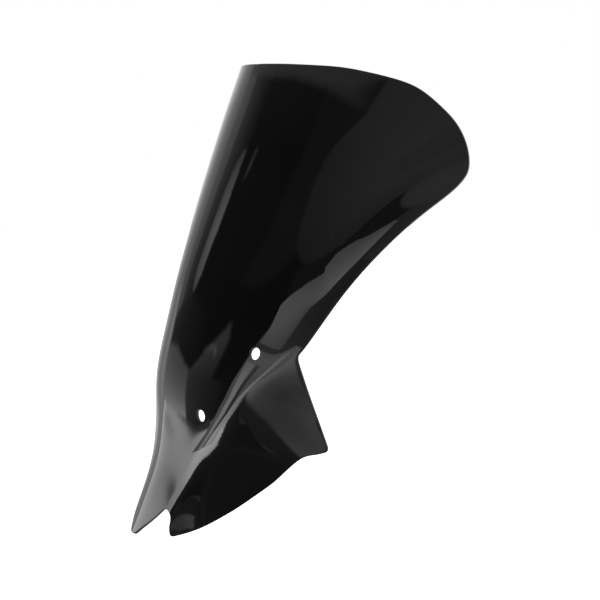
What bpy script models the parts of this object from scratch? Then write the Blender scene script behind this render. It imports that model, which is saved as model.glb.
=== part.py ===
"""Motorcycle windshield screen: one formed acrylic sheet, four rubber washers, three foam strips.

World frame: metres, +Z up, front of the motorcycle towards -Y, the rider's left is +X and the
sheet is symmetric about x = 0. The origin is the middle of the four fixing points.

The outer face of the sheet is a mould surface. It is drawn as a stack of cross-sections square to
a sloping length axis: q runs up that axis, h stands out from it and s runs around the section
from the centre line. The outline and the holes are drawn in (s, q). Drawing lengths are in
millimetres and are scaled by MM when the meshes are made.
"""
import math

import bpy
import numpy as np
from mathutils import Vector
from mathutils.geometry import delaunay_2d_cdt

# ---------------------------------------------------------------- driving dimensions
MM = 0.001
AXIS_SLOPE = 54.0                       # degrees from the ground to the length axis
ORIGIN_YZ = (43.0, 161.0)               # drawing position of the middle of the fixings
SHEET_THICKNESS = 3.0
GAP = 0.3                               # between pieces that touch

# Cross-section stations up the length axis.
#   q      position on the length axis
#   crown  height of the bubble on the centre line
#   foot_x, foot_h   where the bubble meets the ledge
#   round  share of the bubble drop that is a plain parabola, the rest is fourth power
#   ridge_x, ridge_h convex fold between the ledge and the cheek or side flange
#   ledge  slope of the ledge
#   wall   slope of the cheek or flange
#   foot_r, ridge_r  blend lengths of the two folds
STATIONS = (
    #  q  crown foot_x foot_h round ridge_x ridge_h ledge wall foot_r ridge_r
    (0, 25.0, 30, 17.5, 1.00, 33.0, 18.0, 0.28, 2.2, 3, 9),
    (42, 33.0, 34, 26.0, 1.00, 36.0, 27.5, 0.34, 2.0, 3, 9),
    (72, 40.8, 38, 35.0, 1.00, 45.0, 33.0, 0.36, 1.7, 4, 9),
    (94, 50.7, 45, 44.5, 1.00, 56.0, 39.5, 0.38, 1.45, 4, 8),
    (122, 71.8, 68, 51.5, 1.00, 77.0, 48.0, 0.33, 1.40, 5, 7),
    (165, 92.5, 88, 61.5, 1.00, 103.0, 57.0, 0.30, 1.50, 7, 6),
    (205, 108.7, 98, 68.5, 1.00, 131.0, 57.0, 0.34, 1.45, 8, 5),
    (245, 121.7, 112, 74.5, 0.95, 144.0, 63.5, 0.34, 1.40, 9, 6),
    (302, 138.6, 136, 73.0, 0.80, 166.0, 62.0, 0.33, 1.25, 10, 8),
    (351, 152.2, 158, 65.0, 0.70, 185.0, 56.0, 0.30, 1.15, 12, 10),
    (400, 165.6, 183, 61.0, 0.75, 208.0, 46.0, 0.35, 1.0, 16, 14),
    (430, 174.0, 196, 69.0, 0.90, 222.0, 44.0, 0.50, 1.0, 16, 14),
)
KEEL_ROUND = 14.0                       # rounds the fold where the two ledges meet on the nose

# Outline of the left half in (s, q): runs of spline points, each ending in a corner. The number
# after each run softens that corner.
OUTLINE = (
    # nose tongue, notch
    (((0, 5.5), (3.9, 6.2), (9.8, 11.2), (20.5, 23.5), (30, 36.8), (33.5, 40.3), (37.3, 39.5),
      (40.3, 35.5), (41.3, 30.1), (45.3, 22.1)), 4.0),
    # cheek lower edge
    (((45.3, 22.1), (57.3, 32.1), (70.7, 45), (84.3, 60), (100.1, 76.5), (118.6, 94),
      (138.8, 112), (157.2, 130.5), (168.4, 141), (178.9, 147.5), (189.2, 154.5)), 4.0),
    # cheek rear edge
    (((189.2, 154.5), (178.4, 167.5), (165.1, 183.5), (150.3, 203)), 4.0),
    # side and top edge
    (((150.3, 203), (154, 209), (159.1, 219.4), (174.1, 257.1), (188, 288.8), (200.1, 312.8),
      (220.3, 347.7), (232.4, 366.8), (239.8, 381.9), (241.3, 389.9), (238.8, 398.9),
      (231.1, 409.9), (221, 417.5), (205, 423.5), (182, 428), (159.5, 426.5), (137.5, 423),
      (115, 419), (81.9, 412), (42.6, 406.1), (19.3, 404.2), (0, 403.5)), 0.0),
)
HOLES = (("front", 61.5, 123.2), ("rear", 108.6, 189.2))                  # name, s, q
HOLE_RADIUS = 5.0

WASHER_BORE_RADIUS = 7.0
WASHER_RADIUS = 10.5
WASHER_THICKNESS = 1.5
WASHER_SIDES = 32

PAD_THICKNESS = 2.5
NOSE_PAD = ((-22.0, 50.0), (22.0, 50.0), 11.0)                              # from, to, width
CHEEK_PAD = ((76.0, 70.0), (158.0, 150.0), 12.0)

GRID_S = 7.5                            # mesh spacing around and up the sheet
GRID_Q = 11.0
EDGE_STEP = 10.0
EDGE_TURN = math.radians(16.0)
HOLE_SIDES = 20
HOLE_COLLAR = 3.5                       # ring of mesh kept round each hole

# ---------------------------------------------------------------- mould surface
SLOPE = math.radians(AXIS_SLOPE)
AXIS_Q = np.array([0.0, math.cos(SLOPE), math.sin(SLOPE)])
AXIS_H = np.array([0.0, -math.sin(SLOPE), math.cos(SLOPE)])
AXIS_X = np.array([1.0, 0.0, 0.0])


def spline_bends(knots, values):
    """Second derivatives of the natural cubic spline through the values."""
    gaps = np.diff(knots)
    count = len(knots)
    matrix = np.eye(count)
    right = np.zeros(count)
    for i in range(1, count - 1):
        matrix[i, i - 1] = gaps[i - 1]
        matrix[i, i] = 2.0 * (gaps[i - 1] + gaps[i])
        matrix[i, i + 1] = gaps[i]
        rise = (values[i + 1] - values[i]) / gaps[i] - (values[i] - values[i - 1]) / gaps[i - 1]
        right[i] = 6.0 * rise
    return np.linalg.solve(matrix, right)


def spline_at(knots, values, where):
    """Natural cubic spline through (knots, values), carried on straight past its ends."""
    knots = np.asarray(knots, float)
    values = np.asarray(values, float)
    where = np.asarray(where, float)
    bends = spline_bends(knots, values)
    inside = np.clip(where, knots[0], knots[-1])
    i = np.clip(np.searchsorted(knots, inside) - 1, 0, len(knots) - 2)
    gap = knots[i + 1] - knots[i]
    left = inside - knots[i]
    right = knots[i + 1] - inside
    curve = (bends[i] * right ** 3 + bends[i + 1] * left ** 3) / (6.0 * gap)
    curve += (values[i] / gap - bends[i] * gap / 6.0) * right
    curve += (values[i + 1] / gap - bends[i + 1] * gap / 6.0) * left
    slope = (values[i + 1] - values[i]) / gap
    slope += (bends[i + 1] * left ** 2 - bends[i] * right ** 2) / (2.0 * gap)
    slope -= gap * (bends[i + 1] - bends[i]) / 6.0
    return curve + slope * (where - inside)


def height(x, q):
    """Height h of the outer face above the length axis at half-width x."""
    x = np.abs(x)
    table = np.array(STATIONS, float)
    columns = [spline_at(table[:, 0], table[:, k], q) for k in range(1, table.shape[1])]
    crown, foot_x, foot_h, plain, ridge_x, ridge_h, ledge, wall, foot_r, ridge_r = columns
    across = x / foot_x
    bubble = crown - (crown - foot_h) * (plain * across ** 2 + (1.0 - plain) * across ** 4)
    shelf = ridge_h + ledge * (ridge_x - np.hypot(x, KEEL_ROUND))
    top = 0.5 * (bubble + shelf + np.sqrt((bubble - shelf) ** 2 + foot_r ** 2))
    side = ridge_h - wall * (x - ridge_x)
    return 0.5 * (top + side - np.sqrt((top - side) ** 2 + ridge_r ** 2))


def half_width(s, q):
    """Half-width x reached after walking s around the section at q, for arrays of points."""
    steps = np.linspace(0.0, 260.0, 521)
    x = np.empty(len(s))
    for first in range(0, len(s), 2000):
        part = slice(first, first + 2000)
        rows = height(steps[None, :], np.asarray(q)[part, None])
        lengths = np.hypot(np.diff(steps)[None, :], np.diff(rows, axis=1))
        walked = np.concatenate([np.zeros((len(rows), 1)), np.cumsum(lengths, axis=1)], axis=1)
        for i, target in enumerate(np.abs(np.asarray(s)[part])):
            x[first + i] = np.interp(target, walked[i], steps)
    return np.sign(s) * x


def place(x, q, h):
    """Drawing coordinates (x, q, h) to world millimetres."""
    point = np.multiply.outer(x, AXIS_X) + np.multiply.outer(q, AXIS_Q)
    point = point + np.multiply.outer(h, AXIS_H)
    return point - np.array([0.0, ORIGIN_YZ[0], ORIGIN_YZ[1]])


def surface(s, q):
    """Points and outward unit normals of the outer face at arrays of (s, q)."""
    s = np.asarray(s, float)
    q = np.asarray(q, float)
    x = half_width(s, q)
    points = place(x, q, height(x, q))
    slope_x = (height(x + 0.05, q) - height(x - 0.05, q)) / 0.1
    slope_q = (height(x, q + 0.05) - height(x, q - 0.05)) / 0.1
    normals = AXIS_H - np.multiply.outer(slope_x, AXIS_X) - np.multiply.outer(slope_q, AXIS_Q)
    normals /= np.linalg.norm(normals, axis=1)[:, None]
    return points, normals


def frame_at(s, q):
    """Point, outward normal and the matrix from surface directions to (ds, dq) at one place."""
    around = np.array([s, s + 0.5, s - 0.5, s, s])
    along = np.array([q, q, q, q + 0.5, q - 0.5])
    points, normals = surface(around, along)
    step_s = points[1] - points[2]
    step_q = points[3] - points[4]
    normal = np.cross(step_s, step_q)
    normal /= np.linalg.norm(normal)
    first = step_s / np.linalg.norm(step_s)
    second = np.cross(normal, first)
    jacobian = np.array([[step_s @ first, step_q @ first], [step_s @ second, step_q @ second]])
    return points[0], normal, np.linalg.inv(jacobian)


# ---------------------------------------------------------------- outline and holes
def spline_run(points):
    """Dense smooth run through the given (s, q) points."""
    points = np.array(points, float)
    walked = np.concatenate([[0.0], np.cumsum(np.hypot(*np.diff(points, axis=0).T))])
    where = np.linspace(0.0, walked[-1], max(int(walked[-1] / 0.8), 8))
    return np.stack([spline_at(walked, points[:, k], where) for k in (0, 1)], axis=1)


def soften(before, after, reach):
    """Join two runs, replacing the corner between them by a parabola of the given reach."""
    if reach <= 0.0:
        return np.concatenate([before, after[1:]])
    corner = before[-1]
    keep_before = before[np.hypot(*(before - corner).T) > reach]
    far = np.nonzero(np.hypot(*(after - corner).T) > reach)[0][0]
    keep_after = after[far:]
    t = np.linspace(0.0, 1.0, 14)[1:-1, None]
    curve = (1 - t) ** 2 * keep_before[-1] + 2 * t * (1 - t) * corner + t ** 2 * keep_after[0]
    return np.concatenate([keep_before, curve, keep_after])


def half_outline():
    """Dense outline of the left half from the nose tip round to the top, in (s, q)."""
    line = spline_run(OUTLINE[0][0])
    for (points, _), (_, reach) in zip(OUTLINE[1:], OUTLINE[:-1]):
        line = soften(line, spline_run(points), reach)
    return line


def paced(line, step, turn):
    """Resample a dense line with points closer together where it bends."""
    pieces = np.diff(line, axis=0)
    heading = np.unwrap(np.arctan2(pieces[:, 1], pieces[:, 0]))
    bend = np.abs(np.diff(heading, prepend=heading[0]))
    cost = np.hypot(pieces[:, 0], pieces[:, 1]) / step + bend / turn
    cost = np.concatenate([[0.0], np.cumsum(cost)])
    at = np.linspace(0.0, cost[-1], int(math.ceil(cost[-1])) + 1)
    return np.stack([np.interp(at, cost, line[:, k]) for k in (0, 1)], axis=1)


def hole_ring(s, q, radius, sides):
    """Ring in (s, q) that is a circle of the given radius on the formed sheet."""
    _, _, to_drawing = frame_at(s, q)
    angle = 2.0 * math.pi * np.arange(sides) / sides
    circle = radius * np.stack([np.cos(angle), np.sin(angle)])
    return (to_drawing @ circle).T + np.array([s, q])


def inside(points, loop):
    """Which points lie inside the closed loop."""
    result = np.zeros(len(points), bool)
    following = np.roll(loop, -1, axis=0)
    for (ax, ay), (bx, by) in zip(loop, following):
        if ay == by:
            continue
        crosses = (ay > points[:, 1]) != (by > points[:, 1])
        at = ax + (points[:, 1] - ay) * (bx - ax) / (by - ay)
        result ^= crosses & (points[:, 0] < at)
    return result


def clearance(points, loop):
    """Shortest distance from each point to the loop, with loop sides cut into short steps."""
    following = np.roll(loop, -1, axis=0)
    parts = np.linspace(0.0, 1.0, 5)[:-1, None, None]
    dense = (loop[None] * (1 - parts) + following[None] * parts).reshape(-1, 2)
    nearest = np.full(len(points), 1e9)
    for corner in dense:
        nearest = np.minimum(nearest, np.hypot(*(points - corner).T))
    return nearest


def sheet_layout():
    """Triangles of the left half in (s, q), with the points that lie on hole edges."""
    edge = paced(half_outline(), EDGE_STEP, EDGE_TURN)
    edge[0, 0] = 0.0
    edge[-1, 0] = 0.0
    rows = int(round((edge[-1, 1] - edge[0, 1]) / GRID_Q))
    centre = np.linspace(edge[-1, 1], edge[0, 1], rows + 1)[1:-1]
    loop = np.concatenate([edge, np.stack([np.zeros(len(centre)), centre], axis=1)])
    rings = [hole_ring(s, q, HOLE_RADIUS, HOLE_SIDES) for _, s, q in HOLES]
    collars = [hole_ring(s, q, HOLE_RADIUS + HOLE_COLLAR, HOLE_SIDES) for _, s, q in HOLES]
    across = np.arange(GRID_S, 250.0, GRID_S)
    along = np.linspace(edge[-1, 1], edge[0, 1], rows + 1)[0] + GRID_Q * np.arange(-38, 4)
    grid = np.stack(np.meshgrid(across, along), axis=-1).reshape(-1, 2)
    grid = grid[inside(grid, loop)]
    grid = grid[clearance(grid, edge) > 0.55 * GRID_S]
    for collar in collars:
        grid = grid[~inside(grid, collar)]
        grid = grid[clearance(grid, collar) > 0.4 * GRID_S]
    points = np.concatenate([loop] + rings + collars + [grid])
    sides = []
    first = 0
    for ring in [loop] + rings:
        count = len(ring)
        sides += [(first + i, first + (i + 1) % count) for i in range(count)]
        first += count
    made = delaunay_2d_cdt([Vector(p) for p in points], sides, [], 0, 1e-6)
    corners = np.array([tuple(p) for p in made[0]])
    triangles = np.array(made[2])
    middles = corners[triangles].mean(axis=1)
    keep = inside(middles, loop)
    for ring in rings:
        keep &= ~inside(middles, ring)
    owner = np.full(len(corners), -1)
    for k, ring in enumerate(rings):
        owner[[int(np.argmin(np.hypot(*(corners - p).T))) for p in ring]] = k
    return corners, triangles[keep], owner


# ---------------------------------------------------------------- meshes
def new_object(name, points, faces, material):
    """Mesh object from world millimetre points."""
    mesh = bpy.data.meshes.new(name)
    mesh.from_pydata([tuple(np.asarray(p) * MM) for p in points], [], [tuple(f) for f in faces])
    mesh.validate()
    mesh.shade_smooth()
    mesh.set_sharp_from_angle(angle=math.radians(35.0))
    mesh.materials.append(material)
    thing = bpy.data.objects.new(name, mesh)
    bpy.context.scene.collection.objects.link(thing)
    return thing


def screen_sheet(material):
    """The formed sheet: outer face, inner face one thickness behind it, and cut edges."""
    corners, triangles, owner = sheet_layout()
    used = np.unique(triangles)
    index = np.full(len(corners), -1)
    index[used] = np.arange(len(used))
    corners = corners[used]
    owner = owner[used]
    triangles = index[triangles]
    points, normals = surface(corners[:, 0], corners[:, 1])
    for k, (_, s, q) in enumerate(HOLES):
        normals[owner == k] = frame_at(s, q)[1]
    on_centre = corners[:, 0] < 1e-6
    normals[on_centre, 0] = 0.0
    normals[on_centre] /= np.linalg.norm(normals[on_centre], axis=1)[:, None]
    mirrored = np.full(len(corners), -1)
    mirrored[on_centre] = np.nonzero(on_centre)[0]
    mirrored[~on_centre] = len(corners) + np.arange(int((~on_centre).sum()))
    flip = np.array([-1.0, 1.0, 1.0])
    outer = np.concatenate([points, points[~on_centre] * flip])
    facing = np.concatenate([normals, normals[~on_centre] * flip])
    faces = np.concatenate([triangles, mirrored[triangles][:, ::-1]])
    inner = outer - SHEET_THICKNESS * facing
    count = len(outer)
    seen = {}
    for face in faces:
        for a, b in zip(face, np.roll(face, -1)):
            seen[(int(a), int(b))] = True
    rim = [(b, a, a + count, b + count) for a, b in seen if (b, a) not in seen]
    solid = [tuple(int(i) for i in face) for face in faces]
    solid += [tuple(int(i) + count for i in face[::-1]) for face in faces]
    solid += rim
    return new_object("screen_sheet", np.concatenate([outer, inner]), solid, material)


def washer_level(s, q):
    """Height, along the hole axis, of the washer face that clears the curved inner face."""
    centre, normal, _ = frame_at(s, q)
    radii = (WASHER_BORE_RADIUS, 0.5 * (WASHER_BORE_RADIUS + WASHER_RADIUS), WASHER_RADIUS)
    ring = np.concatenate([hole_ring(s, q, radius, WASHER_SIDES) for radius in radii])
    points, normals = surface(ring[:, 0], ring[:, 1])
    behind = points - SHEET_THICKNESS * normals - centre
    return float((behind @ normal).min()) - GAP


def washer(name, s, q, mirror, material):
    """Flat rubber washer behind a fixing hole, modelled about its own axis and then placed."""
    centre, normal, _ = frame_at(s, q)
    centre = centre + washer_level(s, q) * normal
    if mirror:
        centre = centre * np.array([-1.0, 1.0, 1.0])
        normal = normal * np.array([-1.0, 1.0, 1.0])
    profile = (
        (WASHER_BORE_RADIUS, 0.0),
        (WASHER_BORE_RADIUS, -WASHER_THICKNESS),
        (WASHER_RADIUS, -WASHER_THICKNESS),
        (WASHER_RADIUS, 0.0),
    )
    count = len(profile)
    points = []
    faces = []
    for k in range(WASHER_SIDES):
        angle = 2.0 * math.pi * k / WASHER_SIDES
        points += [(r * math.cos(angle), r * math.sin(angle), level) for r, level in profile]
        here = k * count
        there = (k + 1) % WASHER_SIDES * count
        for i in range(count):
            j = (i + 1) % count
            faces.append((here + i, there + i, there + j, here + j))
    thing = new_object(name, points, faces, material)
    thing.location = Vector(centre * MM)
    thing.rotation_mode = "QUATERNION"
    thing.rotation_quaternion = Vector(normal).to_track_quat("Z", "Y")
    return thing


def pad(name, start, end, width, mirror, material):
    """Foam strip behind the sheet, along a straight line drawn in (s, q)."""
    start = np.array(start)
    end = np.array(end)
    along = end - start
    length = float(np.hypot(*along))
    along = along / length
    across = np.array([-along[1], along[0]])
    rows = max(int(round(length / 8.0)), 4)
    columns = 3
    spots = []
    for i in range(rows + 1):
        for j in range(columns + 1):
            sideways = (j / columns - 0.5) * width
            spots.append(start + along * length * i / rows + across * sideways)
    spots = np.array(spots)
    points, normals = surface(spots[:, 0], spots[:, 1])
    front = points - (SHEET_THICKNESS + GAP) * normals
    back = front - PAD_THICKNESS * normals
    count = len(front)
    faces = []
    for i in range(rows):
        for j in range(columns):
            a = i * (columns + 1) + j
            b = a + columns + 1
            faces.append((a, b, b + 1, a + 1))
            faces.append((a + 1 + count, b + 1 + count, b + count, a + count))
    border = [i * (columns + 1) for i in range(rows + 1)]
    border += [rows * (columns + 1) + j for j in range(1, columns + 1)]
    border += [i * (columns + 1) + columns for i in range(rows - 1, -1, -1)]
    border += [j for j in range(columns - 1, 0, -1)]
    for a, b in zip(border, border[1:] + border[:1]):
        faces.append((b, a, a + count, b + count))
    points = np.concatenate([front, back])
    if mirror:
        points = points * np.array([-1.0, 1.0, 1.0])
        faces = [face[::-1] for face in faces]
    return new_object(name, points, faces, material)


# ---------------------------------------------------------------- materials
def make_material(name, colour, roughness):
    """Principled material with a plain colour."""
    material = bpy.data.materials.new(name)
    material.use_nodes = True
    shader = material.node_tree.nodes["Principled BSDF"]
    shader.inputs["Base Color"].default_value = (*colour, 1.0)
    shader.inputs["Roughness"].default_value = roughness
    shader.inputs["Metallic"].default_value = 0.0
    material.diffuse_color = (*colour, 1.0)
    return material


# ---------------------------------------------------------------- assembly
def clear_scene():
    """Remove every object already in the file."""
    for thing in list(bpy.data.objects):
        bpy.data.objects.remove(thing, do_unlink=True)


def build():
    """Make every sub-part and hang it on one empty."""
    clear_scene()
    acrylic = make_material("smoke_acrylic", (0.006, 0.006, 0.007), 0.04)
    rubber = make_material("washer_rubber", (0.012, 0.012, 0.012), 0.55)
    foam = make_material("pad_foam", (0.022, 0.022, 0.024), 0.9)
    pieces = [screen_sheet(acrylic)]
    for hole, s, q in HOLES:
        pieces.append(washer("washer_" + hole + "_left", s, q, False, rubber))
        pieces.append(washer("washer_" + hole + "_right", s, q, True, rubber))
    pieces.append(pad("nose_pad", *NOSE_PAD, False, foam))
    pieces.append(pad("cheek_pad_left", *CHEEK_PAD, False, foam))
    pieces.append(pad("cheek_pad_right", *CHEEK_PAD, True, foam))
    root = bpy.data.objects.new("windshield_screen", None)
    bpy.context.scene.collection.objects.link(root)
    for piece in pieces:
        piece.parent = root


build()
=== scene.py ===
"""Looks for the motorcycle windshield screen: fine formed sheet, washers, foam strips and studio."""

import math

import bpy
import bmesh
import numpy as np
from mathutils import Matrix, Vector
from mathutils.geometry import delaunay_2d_cdt


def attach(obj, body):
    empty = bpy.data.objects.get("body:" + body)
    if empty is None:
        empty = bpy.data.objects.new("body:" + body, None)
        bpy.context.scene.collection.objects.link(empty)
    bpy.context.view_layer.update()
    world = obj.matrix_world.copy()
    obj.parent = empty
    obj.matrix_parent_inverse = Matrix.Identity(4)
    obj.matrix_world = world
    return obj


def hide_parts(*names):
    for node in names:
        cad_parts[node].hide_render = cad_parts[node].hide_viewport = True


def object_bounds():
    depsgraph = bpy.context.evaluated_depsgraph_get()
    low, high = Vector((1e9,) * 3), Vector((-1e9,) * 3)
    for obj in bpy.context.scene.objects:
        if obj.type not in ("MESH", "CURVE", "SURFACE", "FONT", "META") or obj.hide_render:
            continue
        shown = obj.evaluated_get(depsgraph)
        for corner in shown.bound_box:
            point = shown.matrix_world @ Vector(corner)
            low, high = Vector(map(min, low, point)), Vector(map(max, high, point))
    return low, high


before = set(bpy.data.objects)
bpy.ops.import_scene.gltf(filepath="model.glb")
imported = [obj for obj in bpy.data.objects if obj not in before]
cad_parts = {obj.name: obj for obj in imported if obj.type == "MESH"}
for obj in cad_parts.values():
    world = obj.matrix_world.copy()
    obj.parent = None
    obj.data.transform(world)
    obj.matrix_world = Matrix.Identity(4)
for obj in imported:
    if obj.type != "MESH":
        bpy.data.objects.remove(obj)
CAD_LOW, CAD_HIGH = [list(v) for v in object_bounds()]

# ---------------------------------------------------------------- driving dimensions (mm)
MM = 0.001
AXIS_SLOPE = 54.0
ORIGIN_YZ = (43.0, 161.0)
SHEET_THICKNESS = 3.0
GAP = 0.3

STATIONS = (
    #  q  crown foot_x foot_h round ridge_x ridge_h ledge wall foot_r ridge_r
    (0, 25.0, 30, 17.5, 1.00, 33.0, 18.0, 0.28, 2.2, 3, 9),
    (42, 33.0, 34, 26.0, 1.00, 36.0, 27.5, 0.34, 2.0, 3, 9),
    (72, 40.8, 38, 35.0, 1.00, 45.0, 33.0, 0.36, 1.7, 4, 9),
    (94, 50.7, 45, 44.5, 1.00, 56.0, 39.5, 0.38, 1.45, 4, 8),
    (122, 71.8, 68, 51.5, 1.00, 77.0, 48.0, 0.33, 1.40, 5, 7),
    (165, 92.5, 88, 61.5, 1.00, 103.0, 57.0, 0.30, 1.50, 7, 6),
    (205, 108.7, 98, 68.5, 1.00, 131.0, 57.0, 0.34, 1.45, 8, 5),
    (245, 121.7, 112, 74.5, 0.95, 144.0, 63.5, 0.34, 1.40, 9, 6),
    (302, 138.6, 136, 73.0, 0.80, 166.0, 62.0, 0.33, 1.25, 10, 8),
    (351, 152.2, 158, 65.0, 0.70, 185.0, 56.0, 0.30, 1.15, 12, 10),
    (400, 165.6, 183, 61.0, 0.75, 208.0, 46.0, 0.35, 1.0, 16, 14),
    (430, 174.0, 196, 69.0, 0.90, 222.0, 44.0, 0.50, 1.0, 16, 14),
)
KEEL_ROUND = 14.0
OUTLINE = (
    # nose tongue, notch
    (((0, 5.5), (3.9, 6.2), (9.8, 11.2), (20.5, 23.5), (30, 36.8), (33.5, 40.3), (37.3, 39.5),
      (40.3, 35.5), (41.3, 30.1), (45.3, 22.1)), 4.0),
    # cheek lower edge
    (((45.3, 22.1), (57.3, 32.1), (70.7, 45), (84.3, 60), (100.1, 76.5), (118.6, 94),
      (138.8, 112), (157.2, 130.5), (168.4, 141), (178.9, 147.5), (189.2, 154.5)), 4.0),
    # cheek rear edge
    (((189.2, 154.5), (178.4, 167.5), (165.1, 183.5), (150.3, 203)), 4.0),
    # side and top edge
    (((150.3, 203), (154, 209), (159.1, 219.4), (174.1, 257.1), (188, 288.8), (200.1, 312.8),
      (220.3, 347.7), (232.4, 366.8), (239.8, 381.9), (241.3, 389.9), (238.8, 398.9),
      (231.1, 409.9), (221, 417.5), (205, 423.5), (182, 428), (159.5, 426.5), (137.5, 423),
      (115, 419), (81.9, 412), (42.6, 406.1), (19.3, 404.2), (0, 403.5)), 0.0),
)
HOLES = (("front", 61.5, 123.2), ("rear", 108.6, 189.2))
HOLE_RADIUS = 5.0
WASHER_BORE_RADIUS = 7.0
WASHER_RADIUS = 10.5
WASHER_THICKNESS = 1.5
PAD_THICKNESS = 2.5
NOSE_PAD = ((-22.0, 50.0), (22.0, 50.0), 11.0)
CHEEK_PAD = ((76.0, 70.0), (158.0, 150.0), 12.0)

# mesh density
GRID_S = 2.6
GRID_Q = 4.0
GRID_REACH = 250.0                      # the grid covers more than the half outline
EDGE_STEP = 3.5
EDGE_TURN = math.radians(7.0)
EDGE_CLEAR = 1.5                        # grid points nearer to the outline are left out
HOLE_SIDES = 48
COLLARS = (1.2, 3.4)                    # rings of points kept round each hole
COLLAR_CLEAR = 1.2
PAD_STEP = 1.6
PAD_COLUMNS = 10
WASHER_SIDES = 72
WASHER_PROBES = 32

# small roundings
EDGE_ROUND = 0.7                        # polished radius of the cut edge
EDGE_ARC = (30.0, 60.0, 90.0)           # degrees round the edge where points lie
PAD_CORNER = 2.5
PAD_SOFT = 1.0                          # width over which the pad's rear face falls off
PAD_DROP = 0.5
PAD_BEVEL = 0.25

# ---------------------------------------------------------------- mould surface
SLOPE = math.radians(AXIS_SLOPE)
AXIS_Q = np.array([0.0, math.cos(SLOPE), math.sin(SLOPE)])
AXIS_H = np.array([0.0, -math.sin(SLOPE), math.cos(SLOPE)])
AXIS_X = np.array([1.0, 0.0, 0.0])
MIRROR = np.array([-1.0, 1.0, 1.0])
WALK_REACH = 260.0
WALK_STEPS = 521
WALK_BATCH = 2000                       # points handled at once
PROBE = 0.05                            # half step of the slopes
RUN_STEP = 0.8                          # step of the dense outline


def spline_bends(knots, values):
    """Second derivatives of the natural cubic spline through the values."""
    gaps = np.diff(knots)
    count = len(knots)
    matrix = np.eye(count)
    right = np.zeros(count)
    for i in range(1, count - 1):
        matrix[i, i - 1] = gaps[i - 1]
        matrix[i, i] = 2.0 * (gaps[i - 1] + gaps[i])
        matrix[i, i + 1] = gaps[i]
        rise = (values[i + 1] - values[i]) / gaps[i] - (values[i] - values[i - 1]) / gaps[i - 1]
        right[i] = 6.0 * rise
    return np.linalg.solve(matrix, right)


def spline_at(knots, values, where):
    """Natural cubic spline through (knots, values), carried on straight past its ends."""
    knots = np.asarray(knots, float)
    values = np.asarray(values, float)
    where = np.asarray(where, float)
    bends = spline_bends(knots, values)
    inside_range = np.clip(where, knots[0], knots[-1])
    i = np.clip(np.searchsorted(knots, inside_range) - 1, 0, len(knots) - 2)
    gap = knots[i + 1] - knots[i]
    left = inside_range - knots[i]
    right = knots[i + 1] - inside_range
    curve = (bends[i] * right ** 3 + bends[i + 1] * left ** 3) / (6.0 * gap)
    curve += (values[i] / gap - bends[i] * gap / 6.0) * right
    curve += (values[i + 1] / gap - bends[i + 1] * gap / 6.0) * left
    slope = (values[i + 1] - values[i]) / gap
    slope += (bends[i + 1] * left ** 2 - bends[i] * right ** 2) / (2.0 * gap)
    slope -= gap * (bends[i + 1] - bends[i]) / 6.0
    return curve + slope * (where - inside_range)


def height(x, q):
    """Height h of the outer face above the length axis at half-width x."""
    x = np.abs(x)
    stations = np.array(STATIONS, float)
    columns = [spline_at(stations[:, 0], stations[:, k], q) for k in range(1, stations.shape[1])]
    crown, foot_x, foot_h, plain, ridge_x, ridge_h, ledge, wall, foot_r, ridge_r = columns
    across = x / foot_x
    bubble = crown - (crown - foot_h) * (plain * across ** 2 + (1.0 - plain) * across ** 4)
    shelf = ridge_h + ledge * (ridge_x - np.hypot(x, KEEL_ROUND))
    top = 0.5 * (bubble + shelf + np.sqrt((bubble - shelf) ** 2 + foot_r ** 2))
    side = ridge_h - wall * (x - ridge_x)
    return 0.5 * (top + side - np.sqrt((top - side) ** 2 + ridge_r ** 2))


def half_width(s, q):
    """Half-width x reached after walking s around the section at q, for arrays of points."""
    steps = np.linspace(0.0, WALK_REACH, WALK_STEPS)
    x = np.empty(len(s))
    for first in range(0, len(s), WALK_BATCH):
        part = slice(first, first + WALK_BATCH)
        rows = height(steps[None, :], np.asarray(q)[part, None])
        lengths = np.hypot(np.diff(steps)[None, :], np.diff(rows, axis=1))
        walked = np.concatenate([np.zeros((len(rows), 1)), np.cumsum(lengths, axis=1)], axis=1)
        for i, target in enumerate(np.abs(np.asarray(s)[part])):
            x[first + i] = np.interp(target, walked[i], steps)
    return np.sign(s) * x


def surface(s, q):
    """World points (mm) and outward unit normals of the outer face at arrays of (s, q)."""
    s = np.asarray(s, float)
    q = np.asarray(q, float)
    x = half_width(s, q)
    points = np.multiply.outer(x, AXIS_X) + np.multiply.outer(q, AXIS_Q)
    points += np.multiply.outer(height(x, q), AXIS_H)
    points -= np.array([0.0, ORIGIN_YZ[0], ORIGIN_YZ[1]])
    slope_x = (height(x + PROBE, q) - height(x - PROBE, q)) / (2.0 * PROBE)
    slope_q = (height(x, q + PROBE) - height(x, q - PROBE)) / (2.0 * PROBE)
    normals = AXIS_H - np.multiply.outer(slope_x, AXIS_X) - np.multiply.outer(slope_q, AXIS_Q)
    normals /= np.linalg.norm(normals, axis=1)[:, None]
    return points, normals


def frame_at(s, q):
    """Point, outward normal and the matrix from surface directions to (ds, dq) at one place."""
    points, _ = surface([s, s + 0.5, s - 0.5, s, s], [q, q, q, q + 0.5, q - 0.5])
    step_s = points[1] - points[2]
    step_q = points[3] - points[4]
    normal = np.cross(step_s, step_q)
    normal /= np.linalg.norm(normal)
    first = step_s / np.linalg.norm(step_s)
    second = np.cross(normal, first)
    jacobian = np.array([[step_s @ first, step_q @ first], [step_s @ second, step_q @ second]])
    return points[0], normal, np.linalg.inv(jacobian)


# ---------------------------------------------------------------- outline and layout
def spline_run(points):
    """Dense smooth run through the given (s, q) points."""
    points = np.array(points, float)
    walked = np.concatenate([[0.0], np.cumsum(np.hypot(*np.diff(points, axis=0).T))])
    where = np.linspace(0.0, walked[-1], max(int(walked[-1] / RUN_STEP), 8))
    return np.stack([spline_at(walked, points[:, k], where) for k in (0, 1)], axis=1)


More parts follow.
